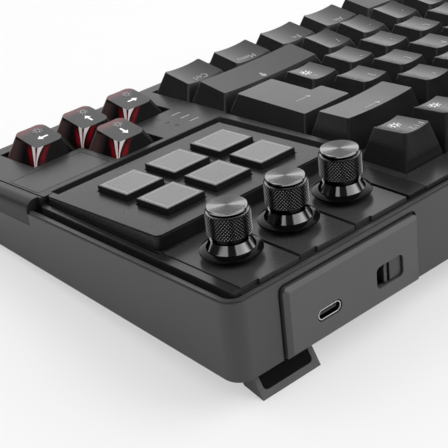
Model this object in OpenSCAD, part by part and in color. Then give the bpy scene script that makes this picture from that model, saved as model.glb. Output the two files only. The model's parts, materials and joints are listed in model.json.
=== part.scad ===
// Mechanical gaming keyboard with arrow keys, six display keys and three knobs.
// Millimetres. Pieces are drawn in the board frame: x to the right, y to the rear, z up from the
// tile surface, with the origin under the down arrow key. stand() tilts the board on its open feet.

/* [Board] */
// Distance from the arrow keys to the right wall
right_margin = 18.2; // [17.4:0.1:22]
// Distance from the leftmost keys to the left wall
left_margin = 9; // [8.4:0.1:16]
// Distance from the bottom row to the front wall
front_margin = 8; // [7.6:0.1:14]
// Distance from the function row to the rear wall
rear_margin = 12.7; // [12.3:0.1:16]
// Thickness of the case walls and floor
wall = 2; // [1.6:0.1:2.4]
// Radius of the upright case corners
corner_radius = 5.5; // [4:0.5:9]
// Drop from the tile surface to the rim of the case
rim_drop = 1.5; // [0.6:0.1:2.4]
// Depth of the case under the down arrow key
case_depth = 18.2; // [17.4:0.1:24]
// Slope of the case's underside, in degrees
bottom_slope = 3.83; // [2:0.1:5]
// Height of the front cover at the down arrow key
cover_height = 0.7; // [0.5:0.1:1.4]
// Slope of the front cover's top, in degrees
cover_slope = 2.3; // [1.5:0.1:2.6]
// Radius of the front cover's rounded shoulders
cover_round = 3.4; // [2:0.1:3.6]
// How far the front cover's skirt reaches down over the walls
skirt_depth = 5.7; // [5.2:0.1:7]

/* [Keys] */
// Distance between key centres
key_pitch = 19.05; // [18.8:0.05:19.4]
// Gap between the main block and the arrow keys
module_gap = 8.8; // [8.4:0.1:11]
// Extra gap in front of the function row
function_gap = 3.6; // [3:0.1:7]
// Width of a single keycap at its base
cap_base = 18.1; // [17.6:0.1:18.3]
// Height of the keycap bases above the tile surface
cap_base_z = -0.6; // [-0.9:0.1:-0.4]
// Thickness of the keycap walls
cap_wall = 1.4; // [1:0.1:1.6]
// Travel of the keys
key_travel = 3.6; // [3:0.1:3.8]
// Depth of the dish in the keycap tops
dish_depth = 0.6; // [0.3:0.1:0.8]

/* [Display keys] */
// Depth of the display housing
housing_depth = 53.8; // [53:0.1:56]
// Slope of the display housing's top, in degrees
plate_slope = 2.9; // [2:0.1:3.5]
// Height of the display housing at its front edge
plate_front = 2; // [1.8:0.1:2.6]
// Width of a display key
display_key = 14.4; // [13:0.1:15]
// Distance between display keys
display_pitch = 18.6; // [18:0.1:19]
// How far a display key stands out of the housing
display_rise = 1.9; // [1.5:0.1:3]
// Travel of the display keys
display_travel = 1.2; // [0.6:0.1:1.2]

/* [Knobs] */
// Width of a knob tile with its groove
tile_pitch = 22.1; // [21.8:0.1:22.6]
// Width of the groove between tiles
tile_groove = 1.2; // [0.5:0.1:1.6]
// Diameter of the knob's grip
knob_grip = 12.2; // [11.4:0.1:13]
// Diameter of the knob's polished foot
knob_foot = 13.8; // [13:0.1:16]
// Diameter of the black ring under a knob
knob_ring = 17.8; // [17:0.1:19]
// Height of the knob's top above the tiles
knob_top = 15.1; // [14.6:0.1:18]
// Diameter of the encoder shafts
shaft_size = 6; // [5:0.1:6]

/* [Rear panel] */
// Width of the raised rear panel
panel_width = 54.5; // [52:0.5:57]
// Height of the raised rear panel
panel_height = 21.8; // [20:0.1:22.2]
// How far the panel stands out of the rear wall
panel_rise = 2; // [1.6:0.1:3]
// Width of the slider window
window_width = 11.4; // [11:0.1:13]
// Travel of the mode slider
slider_travel = 3.4; // [2:0.1:3.4]

/* [Feet] */
// Width of a flip foot
foot_width = 22.6; // [18:0.1:24]
// Length of a flip foot from its hinge to its tip
foot_length = 17.5; // [16.5:0.1:19]
// Thickness of a flip foot
foot_thick = 5.5; // [5:0.1:5.6]
// Backward lean of the open feet, in degrees
foot_lean = 30; // [26:1:32]
// Thickness of the desk pads
pad_thick = 1; // [0.6:0.1:1.6]

/* [Clearances] */
// Gap between a keycap cell and the opening around it
hole_gap = 0.4; // [0.3:0.1:0.6]
// Gap around pieces that drop into a seat
seat_gap = 0.15; // [0.1:0.05:0.25]
// Gap around sliding pieces
slide_gap = 0.35; // [0.3:0.05:0.5]
// Radial gap of turning shafts and pins
running_gap = 0.06; // [0.03:0.01:0.1]

/* [Hidden] */
$fn = 64;
far = 600;
// Key block
main_right = -(1.5 * key_pitch + module_gap);
main_left = main_right - 15 * key_pitch;
function_y = 5 * key_pitch + function_gap;
row_y = [0, key_pitch, 2 * key_pitch, 3 * key_pitch, 4 * key_pitch, function_y];
// Height of each row's top and its rise per millimetre of depth, from the front row to the rear
row_top = [6.45, 7.05, 7.45, 8.65, 10.05, 10.15];
row_rise = [-0.15, -0.14, -0.02, 0.02, 0.04, 0.08];
arrow_top = 6.25;
top_inset_x = 3.3;
top_inset_y = 2.7;
cap_roof = 1;
// Case
case_left = main_left - left_margin;
case_right = 1.5 * key_pitch + right_margin;
case_front = -(0.5 * key_pitch + front_margin);
case_rear = function_y + 0.5 * key_pitch + rear_margin;
in_left = case_left + wall;
in_right = case_right - wall;
in_front = case_front + wall;
in_rear = case_rear - wall;
// Deck frame and the stack of plate and board under it
side_groove = 1.5;
rear_groove = 0.4;
deck_corner = 1.2;
flange_gap = 0.3;
deck_left = in_left + side_groove;
deck_right = in_right - side_groove;
deck_front = in_front + flange_gap;
deck_rear = in_rear - rear_groove;
deck_wall = 1.8;
switch_top = cap_base_z + 0.1;
plate_top = switch_top - 6.2;
plate_thick = 1.5;
plate_bottom = plate_top - plate_thick;
board_top = plate_top - 5;
board_thick = 1.6;
flange_thick = 1.5;
bed_z = -1.4;
// Front cover
opening_right = main_right + hole_gap;
cover_rear = 1.5 * key_pitch + hole_gap + 3.2;
cover_left = main_right + 1.4;
cover_right = deck_right - 1.1;
cover_under = 1.8;
skirt_end = cover_rear - 1.7;
rim_width = 4.3;
cover_chamfer = 0.9;
trim_left = 0.5 * key_pitch + hole_gap + 2.4;
trim_front = 0.5 * key_pitch + hole_gap + 3.1;
trim_rear = cover_rear - 3.8;
trim_right = case_right - 6.4;
trim_thick = 0.8;
// Display housing
housing_left = cover_left + rim_width + 0.2;
housing_right = cover_right - 1.7;
housing_front = cover_rear + 0.2;
housing_rear = cover_rear + housing_depth;
housing_roof = 2;
plate_step = 0.45;
channel_width = 2.6;
channel_depth = 2;
display_x = housing_right - 37.1;
display_y = housing_rear - 25.2;
display_flange = 1.05;
housing_posts = [
    [housing_left + 5.4, housing_front + 5.6],
    [housing_right - 10, housing_front + 5.6],
    [housing_left + 5.4, housing_rear - 6.6]
];
screen_top = -4.6;
screen_thick = 2;
// Knobs
bed_front = housing_rear + 0.4;
tile_right = cover_right - 2.4;
bed_gap = 0.6;
tile_left = tile_right - 3 * tile_pitch;
tile_front = bed_front + 0.4;
tile_rear = deck_rear - 0.1;
tile_setback = 0.7;
bed_left = main_right + 3.2;
knob_y = (housing_rear + deck_rear) / 2 + 0.4;
ring_z = 1.2;
knob_base = 2.7;
bushing_radius = shaft_size / 2 + 0.5;
encoder_board_z = plate_bottom - 7.6;
// Rear panel
panel_x = case_right - 44.9;
panel_top = -4.4;
panel_gap = 0.9;
panel_round = 1.4;
window_round = 1.6;
port_x = panel_x + panel_width / 2 - 15.95;
port_z = -17.9;
port_width = 8.94;
port_height = 3.26;
window_x = panel_x - panel_width / 2 + 13.45;
window_z = -17.1;
window_height = 7;
thumb_width = window_width - slider_travel - 2 * slide_gap;
io_board_z = port_z - port_height / 2;
slider_inset = 0.9;
mode_switch_front = in_rear - 7.5;
// Feet: their pockets lie under the encoder board, and the tip is where an open foot meets the desk
tip_y = case_rear - 1.4;
foot_turn = foot_lean - 90;
hinge_y = tip_y - foot_length * cos(foot_turn) + foot_thick / 2 * sin(foot_turn);
pocket_wall = 1.4;
pocket_clear = 0.3696;
pocket_roof = encoder_board_z - pocket_clear - pocket_wall;
hinge_z = pocket_roof - foot_thick / 2 - 2;
tip_z = hinge_z + foot_length * sin(foot_turn) + foot_thick / 2 * cos(foot_turn);
hinge_pin = 1.3;
fold_angle = foot_lean + 90 + bottom_slope;
foot_x = case_right - 20.4;
foot_places = [foot_x, case_left + case_right - foot_x];
pocket_front = hinge_y - foot_length - 1.2;
pocket_rear = tip_y - 3.6;
pocket_step = hinge_y + foot_thick / 2 + 1.6;
// Desk pads and the tilt that puts both the pads and the foot tips on the desk
pad_front = case_front + 5.5;
pad_length = 9;
pad_edge_y = pad_front * cos(bottom_slope) - pad_thick * sin(bottom_slope);
pad_edge_z = -case_depth - pad_front * sin(bottom_slope) - pad_thick * cos(bottom_slope);
tilt = atan2(pad_edge_z - tip_z, tip_y - pad_edge_y);
bevel = 1.2;
stand_z = -(pad_edge_y * sin(tilt) + pad_edge_z * cos(tilt));
rear_most = (case_rear + panel_rise) * cos(tilt) - (panel_top - panel_height + bevel) * sin(tilt);
shoulder_z = cover_height + case_front * tan(cover_slope) - cover_round;
front_most = case_front * cos(tilt) - shoulder_z * sin(tilt);
stand_x = -(case_left + case_right) / 2;
stand_y = -(rear_most + front_most) / 2;
// Case screws: places, and the seat of each head in its post
screw_radius = 1;
post_radius = 2.5;
front_post_y = -0.5 * key_pitch - 1.1;
screw_end = -3;
rear_post_y = deck_rear - 5.2;
main_span = main_right - main_left;
screw_places = concat(
    [for (f = [0.02, 0.29, 0.57, 0.85]) [main_left + f * main_span, front_post_y]],
    [for (f = [0.12, 0.4, 0.68, 0.92]) [main_left + f * main_span, rear_post_y]],
    [[case_right - 9.8, front_post_y], [housing_left + 1.6, rear_post_y]],
    [[cover_right - 4.5, housing_rear - 2.2]]
);

// Key lists: left edge and width of each key in key units, from the left end of its row
function run(start, count) = [for (i = [0 : count - 1]) [start + i, 1]];
function f_keys() = concat([[0, 1]], [for (i = [0 : 10]) [2 + i + 0.5 * floor(i / 4), 1]]);
row_keys = [
    [[0, 1.25], [1.25, 1.25], [2.5, 1.25], [10, 1.25], [11.25, 1.25], [12.5, 1.25]],
    concat([[0, 1.25]], run(1.25, 11)),
    concat([[0, 1.75]], run(1.75, 12)),
    concat([[0, 1.5]], run(1.5, 12)),
    run(0, 13),
    f_keys()
];
space_span = [3.75, 6.25];
ctrl_span = [13.75, 1.25];
shift_span = [12.25, 2.75];
backspace_span = [13, 2];
f12_span = [14, 1];
enter_x = main_right - 0.625 * key_pitch;
enter_y = 2.5 * key_pitch;
arrow_places = [[key_pitch, 0], [0, 0], [-key_pitch, 0], [0, key_pitch]];
function key_x(span) = main_left + (span[0] + span[1] / 2) * key_pitch;
function bottom_z(y) = -case_depth - y * tan(bottom_slope);
function tile_x(i) = tile_right - (i + 0.5) * tile_pitch;
function display_place(i) = [
    display_x + (1 - i % 3) * display_pitch,
    display_y + (0.5 - floor(i / 3)) * display_pitch
];

// Frames: the standing board, the case's underside, the cover's top and the display housing's top
module stand() {
    translate([stand_x, stand_y, stand_z]) rotate([tilt, 0, 0]) children();
}
module on_bottom() {
    translate([0, 0, -case_depth]) rotate([-bottom_slope, 0, 0]) children();
}
module on_cover() {
    translate([0, 0, cover_height]) rotate([cover_slope, 0, 0]) children();
}
module on_plate() {
    translate([0, cover_rear, plate_front]) rotate([plate_slope, 0, 0])
        translate([0, -cover_rear, 0]) children();
}

// Shapes
module box(x0, x1, y0, y1, z0, z1) {
    translate([x0, y0, z0]) cube([x1 - x0, y1 - y0, z1 - z0]);
}
module rounded(x0, x1, y0, y1, r) {
    translate([x0 + r, y0]) square([x1 - x0 - 2 * r, y1 - y0]);
    translate([x0, y0 + r]) square([x1 - x0, y1 - y0 - 2 * r]);
    for (x = [x0 + r, x1 - r], y = [y0 + r, y1 - r]) translate([x, y]) circle(r);
}
module rounded_box(x0, x1, y0, y1, z0, z1, r) {
    translate([0, 0, z0]) linear_extrude(z1 - z0) rounded(x0, x1, y0, y1, r);
}
module drum(x, y, z0, z1, r) {
    translate([x, y, z0]) cylinder(h = z1 - z0, r = r);
}
// Everything above or below a plane that passes through the current frame's origin
module above(z) {
    box(-far, far, -far, far, z, z + 100);
}
module below(z) {
    box(-far, far, -far, far, z - 100, z);
}
// A slot outline with round ends, drawn in the rear wall's plane and pushed out to the rear
module slot_to_rear(x, z, width, height, y0, y1) {
    translate([x, y1, z]) rotate([90, 0, 0]) linear_extrude(y1 - y0) {
        square([width - height, height], center = true);
        for (side = [-1, 1]) translate([side * (width - height) / 2, 0]) circle(height / 2);
    }
}
// A rectangle with round corners, drawn in the rear wall's plane and pushed out to the rear
module rounded_to_rear(x0, x1, z0, z1, y0, y1, r) {
    translate([0, y1, 0]) rotate([90, 0, 0]) linear_extrude(y1 - y0) rounded(x0, x1, z0, z1, r);
}
// A prism along x whose outline is given as [y, z] points
module prism_x(width, outline) {
    rotate([90, 0, 90]) linear_extrude(width, center = true) polygon(outline);
}
// A prism along y whose outline is given as [x, z] points
module prism_y(depth, outline) {
    rotate([90, 0, 0]) linear_extrude(depth, center = true) polygon(outline);
}

// Case
module foot_pocket(x, grow) {
    half = foot_width / 2 + slide_gap + grow;
    box(x - half, x + half, pocket_front - grow, pocket_step + grow, -50, pocket_roof + grow);
    box(x - half, x + half, pocket_step - 1, pocket_rear + grow, -50, hinge_z - 0.4 + grow);
}
module case_shell() {
    difference() {
        union() {
            rounded_box(case_left, case_right, case_front, case_rear, -50, -rim_drop - 0.5, corner_radius);
            rounded_box(case_left + 0.5, case_right - 0.5, case_front + 0.5, case_rear - 0.5, -50, -rim_drop,
                corner_radius - 0.5);
        }
        difference() {
            rounded_box(in_left, in_right, in_front, in_rear, -49, 1, corner_radius - wall);
            on_bottom() below(wall);
        }
        box(case_left - 1, case_right + 1, case_front - 1, skirt_end + seat_gap, -skirt_depth - seat_gap, 1);
    }
    for (p = screw_places) drum(p[0], p[1], -49, plate_bottom, post_radius);
    for (x = [window_x - 4, port_x - 6]) drum(x, in_rear - 13, -49, io_board_z - board_thick, post_radius);
    for (x = foot_places) foot_pocket(x, pocket_wall);
}
module bottom_case() {
    color([0.12, 0.12, 0.13]) stand() difference() {
        case_shell();
        on_bottom() below(0);
        for (x = foot_places) {
            foot_pocket(x, 0);
            translate([x, hinge_y, hinge_z]) rotate([0, 90, 0])
                cylinder(h = foot_width + 2.6, r = hinge_pin + running_gap, center = true);
        }
        for (p = screw_places) {
            drum(p[0], p[1], -50, 0, screw_radius + 0.2);
            drum(p[0], p[1], -50, bottom_z(p[1]) + wall + 1, 2.2);
        }
        box(window_x - 8, port_x + 7, in_rear - 1, case_rear + 1, window_z - 4.4, window_z + 4.4);
        // The shadow gap round the rear panel
        difference() {
            rounded_to_rear(panel_x - panel_width / 2 - panel_gap, panel_x + panel_width / 2 + panel_gap,
                -60, panel_top + panel_gap, case_rear - wall / 2, case_rear + 1, panel_round + panel_gap);
            rounded_to_rear(panel_x - panel_width / 2, panel_x + panel_width / 2, -70, panel_top,
                case_rear - wall, case_rear + 2, panel_round);
        }
    }
}

// Deck frame: the surface around the keys, the bed of the tiles and the flange in the groove
module deck_outline(z0, z1) {
    rounded_box(deck_left, deck_right, deck_front, deck_rear - 20, z0, z1, 3);
    rounded_box(deck_left, deck_right, deck_front + 20, deck_rear, z0, z1, deck_corner);
}
module deck_block() {
    deck_outline(plate_top, 0);
    difference() {
        deck_outline(plate_bottom - flange_thick, -1);
        box(deck_left + deck_wall, deck_right - deck_wall, deck_front + deck_wall, deck_rear - deck_wall,
            -20, 1);
    }
    difference() {
        rounded_box(in_left + flange_gap, in_right - flange_gap, in_front + flange_gap, in_rear - flange_gap,
            plate_bottom - flange_thick, plate_bottom, corner_radius - wall - flange_gap);
        box(deck_left + 1, deck_right - 1, deck_front + 1, deck_rear - 1, -20, 1);
    }
    box(housing_left, deck_right - 1, cover_rear, deck_rear - 1, plate_bottom, plate_top + 1);
}
module main_opening(z0, z1) {
    split = 4.5 * key_pitch + function_gap / 2;
    bar = function_gap / 2 - hole_gap;
    box(main_left - hole_gap, opening_right, -0.5 * key_pitch - hole_gap, split - bar, z0, z1);
    // The function row has one opening for the escape key and one for each group of four
    for (group = [[0, 1], [2, 4], [6.5, 4], [11, 4]]) {
        x = main_left + group[0] * key_pitch;
        rear = function_y + 0.5 * key_pitch + hole_gap;
        box(x - hole_gap, x + group[1] * key_pitch + hole_gap, split + bar, rear, z0, z1);
    }
}
module arrow_opening(z0, z1) {
    half = 0.5 * key_pitch + hole_gap;
    box(-1.5 * key_pitch - hole_gap, 1.5 * key_pitch + hole_gap, -half, half, z0, z1);
    box(-half, half, 0, key_pitch + half, z0, z1);
}
module deck_frame() {
    color([0.12, 0.12, 0.13]) stand() difference() {
        deck_block();
        main_opening(-20, 5);
        arrow_opening(-20, 5);
        box(housing_left + 2.2, cover_right - 7.6, housing_front + 2.2, housing_rear - 3, -20, 5);
        box(bed_left, tile_right + bed_gap, bed_front, deck_rear + 5, bed_z, 5);
        // The shadow groove at the foot of the display housing, and the gap behind the cover's end
        box(housing_right, cover_right - 0.8, cover_rear, bed_front, -1.2, 5);
        box(cover_right, deck_right + 1, skirt_end, cover_rear + 1.5, -3, 5);
        for (i = [0 : 2]) drum(tile_x(i), knob_y, -20, 5, bushing_radius + 0.2);
        for (p = screw_places) drum(p[0], p[1], -20, screw_end + 0.2, screw_radius + 0.02);
        translate([0, 0, -cover_under - 0.1]) linear_extrude(20) cover_outline(seat_gap);
    }
}

// Front cover: arrow zone, front bar, the display panel's left rim and the skirt over the walls
module cover_outline(grow) {
    difference() {
        rounded(case_left, case_right, case_front, skirt_end + 20, corner_radius);
        translate([-far, skirt_end + grow]) square([2 * far, 100]);
        translate([main_left - hole_gap + grow, -0.5 * key_pitch - hole_gap + grow])
            square([15 * key_pitch + 2 * hole_gap - 2 * grow, 100]);
    }
    translate([cover_left - grow, 0]) square([cover_right - cover_left + 2 * grow, cover_rear + grow]);
    translate([cover_left - grow, 0]) square([rim_width + 2 * grow, housing_rear + grow]);
}
// What the round shoulders at the right, left and front edges cut away, in the cover's frame
module cover_shoulders() {
    r = cover_round;
    front_axis = (case_front + r - r * sin(cover_slope)) / cos(cover_slope);
    for (side = [0, 1]) {
        x = side == 0 ? case_left : case_right - r;
        difference() {
            box(x - (side == 0 ? 1 : 0), x + r + side, -far, far, -r, 5);
            translate([side == 0 ? case_left + r : x, 0, -r]) rotate([90, 0, 0])
                cylinder(h = 2 * far + 2, r = r, center = true);
        }
    }
    difference() {
        box(-far, far, front_axis - r - 3, front_axis, -r * (1 - sin(cover_slope)), 5);
        translate([0, front_axis, -r]) rotate([0, 90, 0]) cylinder(h = 2 * far + 2, r = r, center = true);
    }
}
// The chamfered edge along the display panel's channel
module channel_edge() {
    c = cover_chamfer;
    x = cover_left + rim_width;
    translate([x, cover_rear, 0]) rotate([45, 0, 0]) translate([-c, -c, -c])
        cube([housing_right - 3 - x + c, 2 * c, 2 * c]);
    translate([x, cover_rear, 0]) rotate([0, 45, 0]) translate([-c, -c, -c]) cube([2 * c, 200, 2 * c]);
}
module front_cover() {
    color([0.14, 0.14, 0.15]) stand() difference() {
        translate([0, 0, -skirt_depth]) linear_extrude(skirt_depth + 12) cover_outline(0);
        on_cover() above(0);
        on_cover() cover_shoulders();
        on_cover() channel_edge();
        rounded_box(in_left, in_right, in_front, case_rear, -20, -cover_under, corner_radius - wall);
        arrow_opening(-20, 20);
        on_cover() box(trim_left, trim_right, trim_front, trim_rear, -trim_thick, 5);
        on_cover() box(cover_right - 1.1, cover_right - 0.6, -far, far, -0.6, 5);
        on_cover() indicator_bars(-2.5, 5, seat_gap);
        on_cover() indicator_guide(-9, -1.9 + seat_gap, seat_gap);
    }
}
module trim_plate() {
    color([0.1, 0.1, 0.11]) stand() on_cover()
        box(trim_left + seat_gap, trim_right - seat_gap, trim_front + seat_gap, trim_rear - seat_gap,
            -trim_thick, 0);
}
// Three dashes beside the up key, on a light guide under the cover
function dash_y(i) = 0.8 * key_pitch + i * 4.8;
module indicator_bars(z0, z1, grow) {
    x = -1.41 * key_pitch;
    for (i = [0 : 2])
        box(x - 2.1 - grow, x + 2.1 + grow, dash_y(i) - 0.4 - grow, dash_y(i) + 0.4 + grow, z0, z1);
}
module indicator_guide(z0, z1, grow) {
    x = -1.41 * key_pitch;
    box(x - 2.7 - grow, x + 2.7 + grow, dash_y(0) - 1.6 - grow, dash_y(2) + 1.6 + grow, z0, z1);
}
module indicator_lens() {
    color([0.75, 0.75, 0.78]) stand() on_cover() {
        indicator_bars(-2.5, 0, 0);
        indicator_guide(-2.9, -1.9, 0);
    }
}

// Display housing, keys, screen and board
module display_housing() {
    color([0.13, 0.13, 0.14]) stand() difference() {
        union() {
            difference() {
                rounded_box(housing_left, housing_right, housing_front, housing_rear, 0, 12, 2.4);
                difference() {
                    box(housing_left + 3.4, housing_right - 1.8, housing_front + 3.4, housing_rear - 1.8,
                        -1, 12);
                    on_plate() above(-housing_roof);
                }
            }
            on_plate() for (p = housing_posts) drum(p[0], p[1], screen_top - screen_thick, -1, 1.8);
        }
        on_plate() above(0);
        // The shadow channel along the front and left edges
        on_plate() box(0 - far, housing_right - 3, housing_front - 1, housing_front + channel_width,
            -channel_depth, 5);
        on_plate() box(0 - far, housing_left + channel_width, 0, far, -channel_depth, 5);
        // A fine step along the right and rear edges
        on_plate() difference() {
            above(-plate_step);
            rounded_box(housing_left - 9, housing_right - plate_step, housing_front - 9,
                housing_rear - plate_step, -5, 200, 2.4 - plate_step);
        }
        on_plate() for (i = [0 : 5]) {
            p = display_place(i);
            half = display_key / 2 + slide_gap;
            box(p[0] - half, p[0] + half, p[1] - half, p[1] + half, -9, 9);
        }
    }
}
module display_key_at(i) {
    p = display_place(i);
    half = display_key / 2;
    rim = half + display_flange;
    color([0.55, 0.55, 0.57]) stand() on_plate() {
        box(p[0] - half, p[0] + half, p[1] - half, p[1] + half, -housing_roof - 1, display_rise);
        box(p[0] - rim, p[0] + rim, p[1] - rim, p[1] + rim, -housing_roof - 1.2, -housing_roof - 0.1);
    }
}
module display_key_1() { display_key_at(0); }
module display_key_2() { display_key_at(1); }
module display_key_3() { display_key_at(2); }
module display_key_4() { display_key_at(3); }
module display_key_5() { display_key_at(4); }
module display_key_6() { display_key_at(5); }
module screen_panel() {
    w = 1.5 * display_pitch - 0.4;
    d = display_pitch - 0.8;
    color([0.25, 0.27, 0.3]) stand() on_plate()
        box(display_x - w, display_x + w, display_y - d, display_y + d,
            screen_top - screen_thick, screen_top);
}
module display_board() {
    color([0.1, 0.3, 0.18]) stand() on_plate()
        box(housing_left + 2.6, cover_right - 8, housing_front + 2.8, housing_rear - 3.6,
            screen_top - screen_thick - 1.6, screen_top - screen_thick);
}

// Knob tiles, strip, rings, encoders and knobs
module knob_tiles() {
    color([0.14, 0.14, 0.15]) stand() for (i = [0 : 2]) {
        right = tile_right - i * tile_pitch;
        left = right - tile_pitch + tile_groove;
        difference() {
            box(left, right, tile_front, tile_rear, bed_z, 0);
            drum(tile_x(i), knob_y, -5, 5, bushing_radius + 0.5);
            box(right - 6, right + 1, tile_rear - tile_setback, tile_rear + 1, bed_z - 1, 5);
        }
    }
}
module deck_strip() {
    color([0.13, 0.13, 0.14]) stand()
        box(bed_left + seat_gap, tile_left, tile_front, tile_rear, bed_z, 0);
}
module encoders() {
    color([0.35, 0.36, 0.38]) stand() for (i = [0 : 2]) difference() {
        union() {
            translate([tile_x(i), knob_y, plate_bottom - 3]) cube([13, 13, 6], center = true);
            drum(tile_x(i), knob_y, plate_bottom - 1, 0.5, bushing_radius);
        }
        drum(tile_x(i), knob_y, plate_bottom - 5, 2, shaft_size / 2 + running_gap);
    }
}
module encoder_board() {
    color([0.1, 0.3, 0.18]) stand()
        box(tile_x(2) - 8, tile_x(0) + 7.2, knob_y - 9, mode_switch_front - hole_gap,
            encoder_board_z, encoder_board_z + board_thick);
}
module shaft_at(i) {
    color([0.6, 0.61, 0.63]) stand()
        drum(tile_x(i), knob_y, plate_bottom - 4.6, knob_top - 4, shaft_size / 2);
}
// A black ring under the knob, and the knob with its polished foot, neck, grip and top
module knob_ring_at(i) {
    edge = knob_ring / 2;
    color([0.03, 0.03, 0.03]) stand() translate([tile_x(i), knob_y, 0]) rotate_extrude() polygon([
        [bushing_radius + 1, ring_z], [edge - 1.4, ring_z], [edge, knob_base - 1], [edge, knob_base - 0.6],
        [edge - 0.3, knob_base - 0.4], [knob_foot / 2 + 0.2, knob_base], [bushing_radius + 1, knob_base]
    ]);
}
module knob_at(i) {
    grip = knob_grip / 2;
    foot = knob_foot / 2;
    color([0.16, 0.16, 0.17]) stand() translate([tile_x(i), knob_y, 0]) difference() {
        rotate_extrude() polygon([
            [0, knob_base], [foot, knob_base], [foot, knob_base + 0.2], [grip - 0.5, knob_base + 2.8],
            [grip - 0.9, knob_base + 2.9], [grip - 0.9, knob_base + 4.3], [grip, knob_base + 4.6],
            [grip, knob_top - 1.6], [grip - 0.5, knob_top - 1.3], [grip - 0.5, knob_top - 0.8],
            [grip - 0.2, knob_top - 0.7], [grip - 0.2, knob_top - 0.3], [grip - 0.5, knob_top], [0, knob_top]
        ]);
        drum(0, 0, 0, knob_top - 3.9, shaft_size / 2 + 0.01);
    }
}
module right_shaft() { shaft_at(0); }
module middle_shaft() { shaft_at(1); }
module left_shaft() { shaft_at(2); }
module right_knob_ring() { knob_ring_at(0); }
module middle_knob_ring() { knob_ring_at(1); }
module left_knob_ring() { knob_ring_at(2); }
module right_knob() { knob_at(0); }
module middle_knob() { knob_at(1); }
module left_knob() { knob_at(2); }

// Switches, plate and main board
module all_main_places() {
    for (row = [0 : 5], span = row_keys[row]) translate([key_x(span), row_y[row], 0]) children();
    translate([key_x(space_span), row_y[0], 0]) children();
    translate([key_x(ctrl_span), row_y[0], 0]) children();
    translate([key_x(shift_span), row_y[1], 0]) children();
    translate([enter_x, enter_y, 0]) children();
    translate([key_x(backspace_span), row_y[4], 0]) children();
    translate([key_x(f12_span), row_y[5], 0]) children();
}
module all_arrow_places() {
    for (p = arrow_places) translate([p[0], p[1], 0]) children();
}
module plate_area(z0, z1, inset, front, rear) {
    box(main_left - 2 + inset, main_right + 3 - inset, front, rear, z0, z1);
    box(main_right, 1.5 * key_pitch + 2 - inset, front, cover_rear - inset, z0, z1);
}
module switch_plate() {
    color([0.2, 0.2, 0.21]) stand() difference() {
        plate_area(plate_bottom, plate_top, 0.4, deck_front + deck_wall + 0.3, deck_rear - deck_wall - 0.3);
        all_main_places() cube([14, 14, 40], center = true);
        all_arrow_places() cube([14, 14, 40], center = true);
        for (p = screw_places) drum(p[0], p[1], -20, 0, screw_radius + 0.2);
    }
}
module main_board() {
    front = front_post_y + post_radius + 0.3;
    rear = rear_post_y - post_radius - 0.3;
    color([0.08, 0.09, 0.1]) stand() plate_area(board_top - board_thick, board_top, 2, front, rear);
}
module switch_housing() {
    difference() {
        union() {
            box(-6.95, 6.95, -6.95, 6.95, board_top, plate_top);
            box(-7.8, 7.8, -7.8, 7.8, plate_top, plate_top + 1);
            box(-6.7, 6.7, -6.7, 6.7, plate_top, plate_top + 2.9);
            box(-5.2, 5.2, -5.2, 5.2, plate_top, switch_top);
        }
        drum(0, 0, board_top + 0.6, 5, 3.4);
    }
}
module key_switches() {
    color([0.06, 0.06, 0.06]) stand() all_main_places() switch_housing();
}
module arrow_switches() {
    color([0.45, 0.03, 0.03]) stand() all_arrow_places() switch_housing();
}

// Keycaps. A cap is the overlap of a tapered prism seen from the front and one seen from the side
module cap_form(width, depth, top, rise, inset, roof) {
    w = width / 2 - inset;
    d = depth / 2 - inset;
    h = top - cap_base_z;
    over = 2;
    reach = d - top_inset_y;
    drop = roof + (roof > 0 ? abs(rise) * reach : 0);
    tilt_rise = roof > 0 ? 0 : rise * reach;
    base = cap_base_z - (roof > 0 ? 1 : 0);
    narrow = top_inset_x * (h + over) / h;
    widen_x = top_inset_x * (cap_base_z - base) / h;
    widen_y = top_inset_y * (cap_base_z - base) / h;
    intersection() {
        prism_y(depth + 4, [
            [-w - widen_x, base], [w + widen_x, base], [w - narrow, top + over], [narrow - w, top + over]
        ]);
        prism_x(width + 4, [
            [-d - widen_y, base], [d + widen_y, base],
            [reach, top - drop + tilt_rise], [-reach, top - drop - tilt_rise]
        ]);
    }
}
module cap_dish(width, top, rise) {
    half = width / 2 - top_inset_x;
    r = (half * half + dish_depth * dish_depth) / (2 * dish_depth);
    translate([0, 0, top + r - dish_depth]) rotate([90 + atan(rise), 0, 0])
        cylinder(h = 60, r = r, center = true, $fn = 240);
}
module cap_boss(top, rise) {
    difference() {
        drum(0, 0, switch_top + 0.2, top - cap_roof - dish_depth, 2.8);
        drum(0, 0, switch_top - 1, switch_top + 3.6, 2.02);
    }
}
module plunger() {
    drum(0, 0, plate_top - 0.2, switch_top + 3.5, 2);
}
module keycap(units, top, rise) {
    width = units * key_pitch - (key_pitch - cap_base);
    difference() {
        cap_form(width, cap_base, top, rise, 0, 0);
        cap_form(width, cap_base, top, rise, cap_wall, cap_roof + dish_depth);
        cap_dish(width, top, rise);
    }
    cap_boss(top, rise);
    plunger();
}
module key_in_row(row, span) {
    color([0.13, 0.13, 0.14]) stand() translate([key_x(span), row_y[row], 0])
        keycap(span[1], row_top[row], row_rise[row]);
}
module key_row(row) {
    for (span = row_keys[row]) key_in_row(row, span);
}
module arrow_key(i) {
    color([0.25, 0.05, 0.06]) stand() translate([arrow_places[i][0], arrow_places[i][1], 0])
        keycap(1, arrow_top, row_rise[0]);
}
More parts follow.
